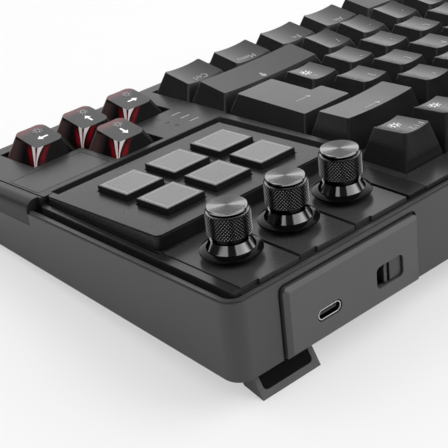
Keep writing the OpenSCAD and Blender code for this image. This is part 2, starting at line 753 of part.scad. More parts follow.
// The return key stands on two rows, with a wider rear half
module enter_form(inset, roof) {
    gap = key_pitch - cap_base;
    cap_form(1.25 * key_pitch - gap, 2 * key_pitch - gap, row_top[2], 0, inset, roof);
    translate([-0.125 * key_pitch, 0.5 * key_pitch, 0])
        cap_form(1.5 * key_pitch - gap, key_pitch - gap, row_top[2], 0, inset, roof);
}
module enter_key() {
    color([0.13, 0.13, 0.14]) stand() translate([enter_x, enter_y, 0]) {
        difference() {
            enter_form(0, 0);
            enter_form(cap_wall, cap_roof + dish_depth);
        }
        cap_boss(row_top[2], 0);
        plunger();
    }
}
module f12_key() { key_in_row(5, f12_span); }
module backspace_key() { key_in_row(4, backspace_span); }
module right_shift_key() { key_in_row(1, shift_span); }
module right_ctrl_key() { key_in_row(0, ctrl_span); }
module space_bar() { key_in_row(0, space_span); }
module function_row() { key_row(5); }
module number_row() { key_row(4); }
module upper_row() { key_row(3); }
module home_row() { key_row(2); }
module lower_row() { key_row(1); }
module bottom_row() { key_row(0); }
module right_arrow_key() { arrow_key(0); }
module down_arrow_key() { arrow_key(1); }
module left_arrow_key() { arrow_key(2); }
module up_arrow_key() { arrow_key(3); }

// Rear panel with the port and the mode switch
module rear_panel() {
    half = panel_width / 2;
    low = panel_top - panel_height;
    out = case_rear + panel_rise;
    color([0.13, 0.13, 0.14]) stand() difference() {
        translate([panel_x, 0, 0]) intersection() {
            prism_x(panel_width, [
                [case_rear, low], [out - bevel, low], [out, low + bevel], [out, panel_top - bevel],
                [out - bevel, panel_top], [case_rear, panel_top]
            ]);
            translate([0, 0, -50]) linear_extrude(60) polygon([
                [-half, case_rear], [-half, out - bevel], [bevel - half, out],
                [half - bevel, out], [half, out - bevel], [half, case_rear]
            ]);
            rounded_to_rear(-half, half, low - 10, panel_top, case_rear - 1, out + 1, panel_round);
        }
        slot_to_rear(port_x, port_z, port_width + 0.8, port_height + 0.8, case_rear - 1, out + 1);
        rounded_to_rear(window_x - window_width / 2, window_x + window_width / 2,
            window_z - window_height / 2, window_z + window_height / 2, case_rear - 1, out + 1, window_round);
    }
}
module usb_shell() {
    front = case_rear - 5.4;
    out = case_rear + panel_rise - 0.2;
    color([0.7, 0.71, 0.73]) stand() difference() {
        slot_to_rear(port_x, port_z, port_width, port_height, front, out);
        slot_to_rear(port_x, port_z, port_width - 0.6, port_height - 0.6, front + 0.5, out + 1);
    }
}
module usb_tongue() {
    color([0.05, 0.05, 0.05]) stand()
        box(port_x - 3.35, port_x + 3.35, case_rear - 4.9, case_rear + panel_rise - 0.9,
            port_z - 0.35, port_z + 0.35);
}
module io_board() {
    x = foot_x - foot_width / 2 - slide_gap - 1.8;
    color([0.1, 0.3, 0.18]) stand() {
        box(window_x - 9, x, in_rear - 16, in_rear - slider_inset - hole_gap,
            io_board_z - board_thick, io_board_z);
        box(x - 0.5, port_x + 6, in_rear - 4.4, in_rear - 0.6, io_board_z - board_thick, io_board_z);
    }
}
module mode_switch() {
    color([0.3, 0.3, 0.32]) stand() difference() {
        box(window_x - 6.2, window_x + 6.2, mode_switch_front, in_rear - 1.5, io_board_z, window_z + 2.5);
        box(window_x - 5, window_x + 5, in_rear - 5, in_rear, window_z - 1, window_z + 1);
    }
}
// The slider rests at the left end of its window
module mode_slider() {
    left = window_x - window_width / 2 + slide_gap;
    low = window_z - window_height / 2 + slide_gap;
    high = window_z + window_height / 2 - slide_gap;
    face = case_rear + panel_rise - 0.7;
    mid = left + thumb_width / 2 - 0.6;
    color([0.1, 0.1, 0.11]) stand() difference() {
        union() {
            rounded_to_rear(left, left + thumb_width, low, high, in_rear - slider_inset, face,
                window_round - slide_gap);
            box(mid - 1, mid + 1, in_rear - 4.6, in_rear, window_z - 0.65, window_z + 0.65);
        }
        box(left + thumb_width - 2.4, left + thumb_width - 1.2, face - 1.6, face + 1, low - 1, high + 1);
    }
}

// Battery, screws, pads and feet
module battery() {
    color([0.55, 0.57, 0.6]) stand() on_bottom()
        box(main_left + 6 * key_pitch, main_left + 11 * key_pitch, 52, 100, wall, wall + 5);
}
module case_screws() {
    color([0.5, 0.5, 0.52]) stand() for (p = screw_places) {
        seat = bottom_z(p[1]) + wall + 1;
        difference() {
            union() {
                drum(p[0], p[1], seat - 0.5, screw_end, screw_radius);
                drum(p[0], p[1], seat - 1.4, seat, 1.9);
            }
            translate([p[0], p[1], seat - 1.4]) cylinder(h = 1.4, r = 0.7, center = true, $fn = 6);
        }
    }
}
module desk_pads() {
    span = case_right - case_left;
    color([0.04, 0.04, 0.04]) stand() on_bottom() for (side = [-1, 1], row = [0, 1]) {
        x = (case_left + case_right) / 2 + side * (0.5 * span - 42);
        y = pad_front + row * 78;
        rounded_box(x - 20, x + 20, y, y + pad_length, -pad_thick, 0, 2);
    }
}
module foot_frame(x) {
    translate([x, hinge_y, hinge_z]) rotate([foot_turn, 0, 0]) children();
}
module pad_seat(grow, depth) {
    end = foot_length - 2.3 + grow;
    rounded_box(-foot_width / 2 + 2 - grow, foot_width / 2 - 2 + grow, end - 6.4 - 2 * grow, end,
        foot_thick / 2 - depth, foot_thick / 2 + 5 * grow, 1.2 + grow);
}
module foot(x) {
    half = foot_thick / 2;
    color([0.15, 0.15, 0.16]) stand() foot_frame(x) difference() {
        union() {
            prism_x(foot_width, [
                [0, -half], [foot_length - foot_thick, -half], [foot_length, half], [0, half]
            ]);
            rotate([0, 90, 0]) cylinder(h = foot_width, r = half, center = true);
            rotate([0, 90, 0]) cylinder(h = foot_width + 2.2, r = hinge_pin, center = true);
        }
        pad_seat(seat_gap, 1);
    }
}
module foot_pad(x) {
    color([0.03, 0.03, 0.03]) stand() foot_frame(x) pad_seat(0, 1);
}
module right_foot() { foot(foot_places[0]); }
module left_foot() { foot(foot_places[1]); }
module right_foot_pad() { foot_pad(foot_places[0]); }
module left_foot_pad() { foot_pad(foot_places[1]); }

bottom_case();
deck_frame();
front_cover();
trim_plate();
indicator_lens();
display_housing();
screen_panel();
display_board();
knob_tiles();
deck_strip();
encoders();
encoder_board();
switch_plate();
main_board();
key_switches();
arrow_switches();
rear_panel();
usb_shell();
usb_tongue();
io_board();
mode_switch();
mode_slider();
battery();
case_screws();
desk_pads();
right_foot();
left_foot();
right_foot_pad();
left_foot_pad();
right_shaft();
middle_shaft();
left_shaft();
right_knob_ring();
middle_knob_ring();
left_knob_ring();
right_knob();
middle_knob();
left_knob();
display_key_1();
display_key_2();
display_key_3();
display_key_4();
display_key_5();
display_key_6();
right_arrow_key();
down_arrow_key();
left_arrow_key();
up_arrow_key();
f12_key();
backspace_key();
enter_key();
right_shift_key();
right_ctrl_key();
space_bar();
function_row();
number_row();
upper_row();
home_row();
lower_row();
bottom_row();
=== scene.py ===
import json
import math

import bmesh
import bpy
from mathutils import Euler, Matrix, Vector


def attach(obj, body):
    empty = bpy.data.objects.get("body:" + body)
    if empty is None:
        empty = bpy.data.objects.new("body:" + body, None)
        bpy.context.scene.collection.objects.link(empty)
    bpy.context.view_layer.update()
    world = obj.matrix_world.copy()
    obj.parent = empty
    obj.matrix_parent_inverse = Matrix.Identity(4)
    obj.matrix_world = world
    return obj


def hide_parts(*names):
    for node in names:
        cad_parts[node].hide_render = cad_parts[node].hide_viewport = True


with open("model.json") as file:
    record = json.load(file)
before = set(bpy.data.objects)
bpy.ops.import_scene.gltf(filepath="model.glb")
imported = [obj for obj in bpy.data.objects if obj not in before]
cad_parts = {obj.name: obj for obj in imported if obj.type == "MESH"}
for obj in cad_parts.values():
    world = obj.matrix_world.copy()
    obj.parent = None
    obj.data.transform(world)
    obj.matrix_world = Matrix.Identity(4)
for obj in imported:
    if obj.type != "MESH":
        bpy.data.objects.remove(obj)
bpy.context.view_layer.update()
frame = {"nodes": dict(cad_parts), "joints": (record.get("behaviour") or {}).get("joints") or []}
MM = 0.001

# The board's own frame: X to the right, Y to the rear, Z square to the deck, in millimetres.
# The right knob's axis says how the board is tilted and where it stands.
KNOB_X, KNOB_Y, KNOB_JOINT_Z = 28.725, 102.725, 8
knob_turn = next(j for j in frame["joints"] if j["name"] == "right_knob_turn")
knob_axis = Vector(knob_turn["axis"]).normalized()
knob_place = Vector((KNOB_X, KNOB_Y, KNOB_JOINT_Z)) * MM
BOARD = Matrix.Rotation(math.atan2(-knob_axis.y, knob_axis.z), 4, "X")
BOARD.translation = Vector(knob_turn["pos_m"]) - BOARD.to_3x3() @ knob_place


# Modelling helpers
def clear_selection():
    if bpy.context.object and bpy.context.object.mode != "OBJECT":
        bpy.ops.object.mode_set(mode="OBJECT")
    bpy.ops.object.select_all(action="DESELECT")


def hold(*pieces):
    """Selects these pieces alone, the first of them active."""
    clear_selection()
    for piece in pieces:
        piece.select_set(True)
    bpy.context.view_layer.objects.active = pieces[0]


def apply_place(piece):
    hold(piece)
    bpy.ops.object.transform_apply(location=True, rotation=True, scale=True)


def block(name, low, high):
    """A box between two corners, in millimetres."""
    clear_selection()
    centre = [(a + b) / 2 * MM for a, b in zip(low, high)]
    size = [(b - a) * MM for a, b in zip(low, high)]
    bpy.ops.mesh.primitive_cube_add(size=1, location=centre, scale=size)
    piece = bpy.context.object
    piece.name = name
    apply_place(piece)
    return piece


def pick(piece, kind, test):
    """Goes into edit mode and selects the faces, edges or corners that pass a test."""
    if bpy.context.object != piece or piece.mode != "EDIT":
        hold(piece)
        bpy.ops.object.mode_set(mode="EDIT")
    bpy.ops.mesh.select_mode(type=kind)
    bpy.ops.mesh.select_all(action="DESELECT")
    mesh = bmesh.from_edit_mesh(piece.data)
    for part in {"FACE": mesh.faces, "EDGE": mesh.edges, "VERT": mesh.verts}[kind]:
        if test(part):
            part.select_set(True)
    if kind == "VERT":
        mesh.select_flush(True)
    bmesh.update_edit_mesh(piece.data)


def move(x, y, z):
    bpy.ops.transform.translate(value=(x * MM, y * MM, z * MM))


def grow(x, y, z):
    bpy.ops.transform.resize(value=(x, y, z))


def push_out(x, y, z):
    """Extrudes what is selected by this much."""
    bpy.ops.mesh.extrude_region_move(TRANSFORM_OT_translate={"value": (x * MM, y * MM, z * MM)})


def cut(place, across):
    """Cuts the selected faces along a plane, in millimetres."""
    bpy.ops.mesh.bisect(plane_co=[c * MM for c in place], plane_no=across)


def modify(piece, kind, **settings):
    """Adds a modifier and applies it."""
    hold(piece)
    modifier = piece.modifiers.new(kind.title(), kind)
    for name, value in settings.items():
        setattr(modifier, name, value)
    bpy.ops.object.modifier_apply(modifier=modifier.name)


def soften(piece, width, segments=3, angle=35):
    """Rounds a piece's sharp edges and smooths it."""
    modify(piece, "BEVEL", width=width * MM, segments=segments, limit_method="ANGLE",
           angle_limit=math.radians(angle), use_clamp_overlap=True)
    smooth(piece)
    modify(piece, "WEIGHTED_NORMAL", keep_sharp=True)


def smooth(piece, angle=40):
    hold(piece)
    bpy.ops.object.shade_smooth_by_angle(angle=math.radians(angle))


def copy_to(piece, name, x, y):
    hold(piece)
    bpy.ops.object.duplicate(linked=False)
    made = bpy.context.object
    made.name = name
    made.location = (x * MM, y * MM, 0)
    apply_place(made)
    return made


def join(name, pieces):
    hold(*pieces)
    if len(pieces) > 1:
        bpy.ops.object.join()
    bpy.context.object.name = name
    return bpy.context.object


def discard(*pieces):
    hold(*pieces)
    bpy.ops.object.delete()


def mount(piece, finish, body, slot, *nodes):
    """Puts a finished piece on the standing board, on a body and in place of its nodes."""
    clear_selection()
    piece.matrix_world = BOARD
    apply_place(piece)
    dress(piece, finish)
    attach(piece, body)
    if nodes:
        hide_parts(*nodes)


def dress(piece, *finishes):
    piece.data.materials.clear()
    for finish in finishes:
        piece.data.materials.append(finish)


def dress_zones(piece, finishes, zones):
    """Gives each face the finish that its zone counts to."""
    dress(piece, *finishes)
    for face, zone in zip(piece.data.polygons, zones):
        face.material_index = zone


# Finishes
class Wire:
    """A socket of a finish. Sums and products of wires add Math nodes."""

    def __init__(self, tree, socket=None):
        self.tree = tree
        self.socket = socket

    def node(self, kind, settings=None, sockets=None, out=0):
        """A wire from a new node of the same finish."""
        made = self.tree.nodes.new(kind)
        for name, value in (settings or {}).items():
            setattr(made, name, value)
        for name, value in (sockets or {}).items():
            if isinstance(value, Wire):
                self.tree.links.new(value.socket, made.inputs[name])
            else:
                made.inputs[name].default_value = value
        return Wire(self.tree, made.outputs[out])

    def math(self, operation, *values):
        """A Math node of these values."""
        return self.node("ShaderNodeMath", {"operation": operation}, dict(enumerate(values)))

    def mix(self, first, second):
        """A colour between two others, by this wire."""
        return self.node("ShaderNodeMix", {"data_type": "RGBA"}, {0: self, 6: first, 7: second}, 2)

    def ramp(self, low, high, interpolation="LINEAR"):
        """From 0 at the low value to 1 at the high one."""
        return self.node("ShaderNodeMapRange", {"interpolation_type": interpolation},
                         {"Value": self, "From Min": low, "From Max": high})

    def between(self, low, high, blur):
        """1 between two values and 0 beyond them, with blurred ends."""
        return self.ramp(low, low + blur) - self.ramp(high, high + blur)

    def into(self, shader, name):
        self.tree.links.new(self.socket, shader.inputs[name])

    def __add__(self, other):
        return self.math("ADD", self, other)

    def __radd__(self, other):
        return self.math("ADD", other, self)

    def __sub__(self, other):
        return self.math("SUBTRACT", self, other)

    def __rsub__(self, other):
        return self.math("SUBTRACT", other, self)

    def __mul__(self, other):
        return self.math("MULTIPLY", self, other)

    def __rmul__(self, other):
        return self.math("MULTIPLY", other, self)

    def __truediv__(self, other):
        return self.math("DIVIDE", self, other)


def new_finish(name, **constants):
    """A material, a wire to start its nodes from, its shader and its place on the object."""
    material = bpy.data.materials.new(name)
    material.use_nodes = True
    shader = material.node_tree.nodes["Principled BSDF"]
    for socket, value in constants.items():
        shader.inputs[socket.replace("_", " ")].default_value = value
    wire = Wire(material.node_tree)
    place = wire.node("ShaderNodeTexCoord", out="Object")
    return material, wire, shader, place


def grey(value, tint=0.0):
    """A near-neutral colour, slightly cool where the tint is above zero."""
    return (value * (1 - tint), value, value * (1 + tint), 1)


def shade(colour, factor):
    """A colour made darker or paler by a factor."""
    return tuple(c * factor for c in colour[:3]) + (1,)


def noise(wire, place, size, detail=2.0):
    """Noise with features of about this size in millimetres."""
    return wire.node("ShaderNodeTexNoise", None, {"Vector": place, "Scale": 1000 / size, "Detail": detail})


def roughen(wire, shader, height, strength, depth, edge):
    """Bumps a surface by a depth in millimetres and softens its edges where a radius is given."""
    sockets = {"Height": height, "Strength": strength, "Distance": depth * MM}
    if edge:
        sockets["Normal"] = wire.node("ShaderNodeBevel", {"samples": 4}, {"Radius": edge * MM})
    wire.node("ShaderNodeBump", None, sockets).into(shader, "Normal")


def moulded(name, colour, roughness, grain=0.35, depth=0.04, edge=0.0, spread=0.18, **constants):
    """Moulded plastic: cloudy colour, uneven gloss, a fine spark-eroded grain and soft edges."""
    material, wire, shader, place = new_finish(name, **constants)
    cloud = noise(wire, place, 14, 3)
    fine = noise(wire, place, grain)
    dark, pale = shade(colour, 1 - spread), shade(colour, 1 + spread)
    (cloud * 0.75 + fine * 0.25).mix(dark, pale).into(shader, "Base Color")
    (roughness - 0.08 + cloud * 0.1 + fine * 0.06).into(shader, "Roughness")
    roughen(wire, shader, fine, 0.35, depth, edge)
    return material


def metal(name, colour, roughness, grain, depth, edge=0.0, **constants):
    """Metal: cloudy colour, uneven gloss and a fine grain."""
    material, wire, shader, place = new_finish(name, Metallic=1.0, **constants)
    cloud = noise(wire, place, 6, 3)
    fine = noise(wire, place, grain)
    cloud.mix(shade(colour, 0.85), colour).into(shader, "Base Color")
    (roughness - 0.04 + fine * 0.08).into(shader, "Roughness")
    roughen(wire, shader, fine, 0.3, depth, edge)
    return material


case_finish = moulded("case_plastic", grey(0.036), 0.34, edge=0.3)
deck_finish = moulded("deck_plastic", grey(0.014), 0.26, edge=0.2, Specular_IOR_Level=0.4)
cover_finish = moulded("cover_plastic", grey(0.018), 0.34, edge=0.3, Specular_IOR_Level=0.22)
trim_finish = moulded("trim_plastic", grey(0.016), 0.3, edge=0.2, Specular_IOR_Level=0.22)
housing_finish = moulded("housing_plastic", grey(0.012), 0.28, edge=0.2, Specular_IOR_Level=0.2)
tile_finish = moulded("tile_plastic", grey(0.038), 0.26, edge=0.2, Specular_IOR_Level=0.29)
strip_finish = moulded("strip_plastic", grey(0.01), 0.26, edge=0.2, Specular_IOR_Level=0.14)
panel_finish = moulded("panel_plastic", grey(0.064), 0.36, edge=0.3)
foot_finish = moulded("foot_plastic", grey(0.09), 0.4, edge=0.3)
# Black rubber for the pads, also used for the strip of painted shade in the display plate's channel
rubber_and_shade_finish = moulded("pad_rubber_and_shade", grey(0.004), 0.5, grain=0.5, depth=0.08, edge=0.3,
                        Specular_IOR_Level=0.06)
slider_finish = moulded("slider_plastic", grey(0.03), 0.34, edge=0.2)
cap_finish = moulded("cap_plastic", grey(0.013), 0.23, grain=0.3, Specular_IOR_Level=0.4)
lens_finish = moulded("indicator_lens", grey(0.22), 0.4, edge=0.1)
ink_finish = moulded("legend_ink", grey(0.3), 0.45)
white_ink = moulded("white_ink", grey(0.85), 0.4, spread=0.04)
icon_ink = moulded("icon_ink", grey(0.008), 0.5)
ring_finish = moulded("ring_plastic", grey(0.003), 0.14, depth=0.01, Specular_IOR_Level=0.12)
board_finish = moulded("circuit_board", (0.012, 0.07, 0.03, 1), 0.4)
switch_finish = moulded("switch_plastic", grey(0.012), 0.4)
red_switch = moulded("red_switch_plastic", (0.42, 0.008, 0.012, 1), 0.35)
cell_finish = moulded("battery_wrap", (0.35, 0.36, 0.38, 1), 0.35)
screen_finish = moulded("screen_glass", grey(0.05, 0.1), 0.12)
steel_finish = metal("bright_steel", grey(0.62), 0.22, 0.4, 0.01, edge=0.15)
plate_finish = metal("plate_steel", grey(0.4), 0.35, 0.5, 0.02)
can_finish = metal("encoder_can", grey(0.5), 0.3, 0.5, 0.02)

# What the knobs' metal shows at glancing angles
DARK_EDGE = grey(0.1)


def knurled(name):
    """Black metal whose knurl has pale crests, painted on as highlights for their glints."""
    material, wire, shader, place = new_finish(name, Metallic=1.0, Specular_Tint=DARK_EDGE)
    crest = wire.node("ShaderNodeAttribute", {"attribute_name": "crest"}, out="Fac")
    # Painted highlights: the crests are paler than the black metal of the rest
    crest.ramp(0.3, 0.9).mix(grey(0.012), grey(0.4)).into(shader, "Base Color")
    (0.16 + noise(wire, place, 0.3) * 0.08).into(shader, "Roughness")
    return material


knob_finish = knurled("knob_metal")
polish_finish = metal("knob_polish", grey(0.27), 0.1, 0.8, 0.002, Specular_Tint=DARK_EDGE)
spun_finish = metal("knob_spun_top", grey(0.22), 0.16, 0.3, 0.002)
key_finish = moulded("key_plastic", grey(0.012), 0.14, depth=0.005, Specular_IOR_Level=0.15)
label_finish = moulded("display_label", grey(0.105), 0.26, depth=0.01, spread=0.06, Specular_IOR_Level=0.42)
frame_finish = moulded("label_frame", grey(0.3), 0.26, depth=0.01, spread=0.06)

# Keycaps: rows from the front, with the height and slope of their tops
PITCH = 19.05
KEY_GAP = 0.95
MODULE_GAP = 8.8
FUNCTION_GAP = 3.6
MAIN_RIGHT = -1.5 * PITCH - MODULE_GAP
MAIN_LEFT = MAIN_RIGHT - 15 * PITCH
ROW_Y = [i * PITCH for i in range(5)] + [5 * PITCH + FUNCTION_GAP]
ROW_TOP = [6.45, 7.05, 7.45, 8.65, 10.05, 10.15]
ROW_RISE = [-0.15, -0.14, -0.02, 0.02, 0.04, 0.08]
CAP_FOOT = -0.6
CAP_WALL = 1.4
CAP_ROOF = 1.6
DISH = 0.6
CORNER = 0.6
TOP_IN_X, TOP_IN_Y = 3.3, 2.7
# Legends are made flat at this height and then dropped onto their caps
PRINT_Z = 20


def cap_width(units):
    return units * PITCH - KEY_GAP


def round_corners(piece, far_corner=CORNER):
    """Rounds the upright edges of a cap: those at its rear right finely, the others as asked for."""
    for size, is_near in ((CORNER, True), (far_corner, False)):
        pick(piece, "EDGE", lambda e: abs(e.verts[0].co.z - e.verts[1].co.z) > 3 * MM
             and (e.verts[0].co.x > 0 and e.verts[0].co.y > 0) == is_near)
        bpy.ops.mesh.bevel(offset=size * MM, segments=3 + int(size), affect="EDGES")


def cap_block(name, width, depth, top, rise, far_corner=CORNER):
    """A tapered block with the slope of its row on top."""
    flat_w, flat_d = width / 2 - TOP_IN_X, depth / 2 - TOP_IN_Y
    piece = block(name, (-width / 2, -depth / 2, CAP_FOOT), (width / 2, depth / 2, top))
    pick(piece, "FACE", lambda f: f.normal.z > 0.9)
    grow(2 * flat_w / width, 2 * flat_d / depth, 1)
    if rise:
        for side in (-1, 1):
            pick(piece, "VERT", lambda v: v.co.z > (top - 0.1) * MM and v.co.y * side > 0)
            move(0, 0, side * rise * flat_d)
    round_corners(piece, far_corner)
    return piece


def hollow(piece, height, taper_x=0.72, taper_y=0.78):
    """Opens a cap from below, narrower towards its roof."""
    pick(piece, "FACE", lambda f: f.normal.z < -0.9)
    bpy.ops.mesh.inset(thickness=CAP_WALL * MM)
    push_out(0, 0, height)
    grow(taper_x, taper_y, 1)


def dish(piece, half_width, depth):
    """Sinks the top along the middle, strip by strip."""
    shares = [-0.8, -0.55, -0.28, 0, 0.28, 0.55, 0.8]
    for share in shares:
        pick(piece, "FACE", lambda f: f.normal.z > 0.5 or abs(f.normal.y) > 0.7)
        cut((share * half_width, 0, 0), (1, 0, 0))
    for share in shares:
        pick(piece, "VERT", lambda v: abs(v.co.x - share * half_width * MM) < 1e-6 and v.co.z > 3 * MM
             and any(f.normal.z > 0.5 for f in v.link_faces))
        move(0, 0, -depth * (1 - share * share))


def cap_blank(units, top, rise, sink=DISH, round_off=0.45, far_corner=CORNER):
    """A finished cap of this many key units, to be copied."""
    width, depth = cap_width(units), cap_width(1)
    piece = cap_block("cap_blank", width, depth, top, rise, far_corner)
    hollow(piece, top - CAP_FOOT - CAP_ROOF - abs(rise) * (depth / 2 - TOP_IN_Y))
    dish(piece, width / 2 - TOP_IN_X, sink)
    soften(piece, round_off)
    return piece


def lettering(name, text, x, y, size):
    """A legend as a flat mesh above the caps, its left end at x."""
    clear_selection()
    bpy.ops.object.text_add(location=(x * MM, y * MM, PRINT_Z * MM), radius=size * MM)
    mark = bpy.context.object
    mark.data.body = text
    mark.data.resolution_u = 3
    bpy.ops.object.convert(target="MESH")
    mark = bpy.context.object
    mark.name = name
    apply_place(mark)
    return mark


def lay_on(mark, piece):
    """Drops a flat legend onto the piece below it and gives it the thickness of print."""
    modify(mark, "SHRINKWRAP", target=piece, wrap_method="PROJECT", use_project_z=True,
           use_negative_direction=True, use_positive_direction=False, offset=0.02 * MM)
    modify(mark, "SOLIDIFY", thickness=0.03 * MM, offset=1)
    return mark


def arrow_mark(name, x, y, length, turn, stroke, head):
    """A printed arrow: a bar of this stroke with a three-sided head of this length."""
    bar = block(name, (-length / 2, -stroke / 2, PRINT_Z - 0.01), (length / 2 - head, stroke / 2, PRINT_Z))
    pick(bar, "FACE", lambda f: f.normal.x > 0.9)
    push_out(0.001, 0, 0)
    grow(1, 1.6 * head / stroke, 1)
    push_out(head, 0, 0)
    grow(1, 0.04, 1)
    pick(bar, "FACE", lambda f: f.normal.z < 0.9)
    bpy.ops.mesh.delete(type="FACE")
    clear_selection()
    bar.rotation_euler = (0, 0, turn)
    bar.location = (x * MM, y * MM, 0)
    apply_place(bar)
    return bar


def sun_mark(name, x, y, size):
    """A printed sun: a ring with eight rays."""
    clear_selection()
    bpy.ops.mesh.primitive_circle_add(vertices=24, radius=size * 0.3 * MM, fill_type="NGON",
                                      location=(0, 0, PRINT_Z * MM))
    ring = bpy.context.object
    apply_place(ring)
    pick(ring, "FACE", lambda f: True)
    bpy.ops.mesh.inset(thickness=size * 0.1 * MM)
    bpy.ops.mesh.delete(type="FACE")
    clear_selection()
    rays = []
    for i in range(8):
        bpy.ops.mesh.primitive_plane_add(size=1, location=(0, 0, PRINT_Z * MM))
        ray = bpy.context.object
        ray.scale = (size * 0.16 * MM, size * 0.09 * MM, 1)
        apply_place(ray)
        ray.location = (size * 0.45 * MM, 0, 0)
        apply_place(ray)
        ray.rotation_euler = (0, 0, i * math.pi / 4)
        apply_place(ray)
        rays.append(ray)
    mark = join(name, [ring] + rays)
    mark.location = (x * MM, y * MM, 0)
    apply_place(mark)
    return mark


# Each node's row, and where each of its caps starts, how wide it is and what is printed on it
ROWS = {
    "bottom_row": (0, [(0, 1.25, "Ctrl"), (1.25, 1.25, "Sys"), (2.5, 1.25, "Alt"), (10, 1.25, "Alt"),
                       (11.25, 1.25, "Fn"), (12.5, 1.25, "Menu")]),
    "lower_row": (1, [(0, 1.25, "Shift")] + [(1.25 + i, 1, t) for i, t in enumerate("\\ZXCVBNM,./")]),
    "home_row": (2, [(0, 1.75, "Caps")] + [(1.75 + i, 1, t) for i, t in enumerate("ASDFGHJKL;'#")]),
    "upper_row": (3, [(0, 1.5, "Tab")] + [(1.5 + i, 1, t) for i, t in enumerate("QWERTYUIOP[]")]),
    "number_row": (4, [(i, 1, t) for i, t in enumerate("`1234567890-=")]),
    "function_row": (5, [(0, 1, "Esc")] + [(2 + i + 0.5 * (i // 4), 1, f"F{i + 1}") for i in range(11)]),
    "f12_key": (5, [(14, 1, "F12")]),
    "backspace_key": (4, [(13, 2, "")]),
    "right_shift_key": (1, [(12.25, 2.75, "")]),
    "right_ctrl_key": (0, [(13.75, 1.25, "Ctrl")]),
    "space_bar": (0, [(3.75, 6.25, "")]),
}
# Where a legend starts, to the right and to the rear of its cap's middle, and its size
LETTER, SYMBOL = (-2.6, 1.8, 3.8), (0.6, 2.6, 3.4)
WORD, WIDE_WORD = (-4.8, 2.9, 3.7), (-2.7, 2.9, 3.7)
SUN = 4


def legend_place(text, units):
    if text == "#":
        return SYMBOL
    if len(text) == 1:
        return LETTER
    return WORD if units == 1 else WIDE_WORD


blanks = {}
for node, (row, keys) in ROWS.items():
    caps, marks, icons = [], [], []
    y = ROW_Y[row]
    for start, units, text in keys:
        if (row, units) not in blanks:
            blanks[row, units] = cap_blank(units, ROW_TOP[row], ROW_RISE[row])
        x = MAIN_LEFT + (start + units / 2) * PITCH
        caps.append(copy_to(blanks[row, units], "cap", x, y))
        if text:
            right, rear, size = legend_place(text, units)
            marks.append(lettering("legend", text, x + right, y + rear, size))
        if text == "#":
            icons.append(sun_mark("icon", x + 1.9, y - 0.9, SUN))
        if node in ("f12_key", "function_row") and text != "Esc":
            icons.append(sun_mark("icon", x + 0.4, y - 2.3, SUN))
        if node == "backspace_key":
            marks.append(arrow_mark("legend", x + 1.5, y + 4, 7, math.pi, 0.45, 1.5))
        if node == "right_shift_key":
            marks.append(arrow_mark("legend", x + 2.1, y + 4.2, 3.4, math.pi / 2, 1.1, 1.7))
    caps = join(node + "_caps", caps)
    prints = [(join(node + kind, group), ink) for group, kind, ink in
              ((marks, "_legends", ink_finish), (icons, "_icons", white_ink)) if group]
    for mark, ink in prints:
        lay_on(mark, caps)
    mount(caps, cap_finish, node, "keycap", node)
    for mark, ink in prints:
        mount(mark, ink, node, "keycap")
discard(*blanks.values())

# The return key: a block with an ear on the rear half of its left side
ENTER_X, ENTER_Y = MAIN_RIGHT - 0.625 * PITCH, 2.5 * PITCH
ENTER_HOLLOW = 6.2
half_width, half_depth = cap_width(1.25) / 2, cap_width(2) / 2
ear_front = half_depth - cap_width(1)
enter = block("enter_key_cap", (-half_width, -half_depth, CAP_FOOT), (half_width, half_depth, ROW_TOP[2]))
pick(enter, "FACE", lambda f: f.normal.x < -0.9)
cut((0, ear_front, 0), (0, 1, 0))
pick(enter, "FACE", lambda f: f.normal.x < -0.9 and f.calc_center_median().y > ear_front * MM)
push_out(-0.25 * PITCH, 0, 0)
for side in (1, -1):
    pick(enter, "VERT", lambda v: v.co.z > 0 and v.co.x * side > 0)
    move(-side * TOP_IN_X, 0, 0)
    pick(enter, "VERT", lambda v: v.co.z > 0 and (v.co.y - half_depth / 2 * MM) * side > 0)
    move(0, -side * TOP_IN_Y, 0)
round_corners(enter)
hollow(enter, ENTER_HOLLOW, 0.8, 0.85)
soften(enter, 0.45)
clear_selection()
enter.location = (ENTER_X * MM, ENTER_Y * MM, 0)
apply_place(enter)
enter_mark = arrow_mark("enter_key_legend", ENTER_X - 1, ENTER_Y + 6.2, 7, math.pi, 0.45, 1.5)
lay_on(enter_mark, enter)
mount(enter, cap_finish, "enter_key", "keycap", "enter_key")
mount(enter_mark, ink_finish, "enter_key", "keycap")

# Arrow keys: smoky caps with painted highlight strips in their corners and a painted red glow beside them
ARROW_TOP = 6.25
TOP_FACE = 0.75
TURNED = 100
# Colours of the painted highlight strips, the painted red glow and the painted haze of light seen through the
# sides
PAINTED_GLINT, GLOW, PAINTED_HAZE = (0.66, 0.6, 0.6, 1), (0.17, 0.004, 0.009, 1), (0.05, 0.03, 0.03, 1)
BLUSH = (0.14, 0.06, 0.065, 1)


def paint_map(piece):
    """A map in millimetres: along a side and up it, with the right and left sides shifted apart.

    The front and left sides lie wholly before their middle, so that only the other two have a near end.
    """
    sheet = piece.data.uv_layers.new(name="paint")
    for face in piece.data.polygons:
        for loop in face.loop_indices:
            place = piece.data.vertices[piece.data.loops[loop].vertex_index].co / MM
            if face.normal.z > TOP_FACE:
                sheet.data[loop].uv = (place.x, place.y)
            elif abs(face.normal.x) > abs(face.normal.y):
                along = place.y if face.normal.x > 0 else -abs(place.y)
                sheet.data[loop].uv = (along + TURNED, place.z)
            else:
                along = place.x if face.normal.y > 0 else -abs(place.x)
                sheet.data[loop].uv = (along, place.z)


def paint_spot(wire):
    """The two values of the paint map."""
    spot = wire.node("ShaderNodeSeparateXYZ", None, {0: wire.node("ShaderNodeUVMap", {"uv_map": "paint"})})
    return spot, Wire(wire.tree, spot.socket.node.outputs[1])


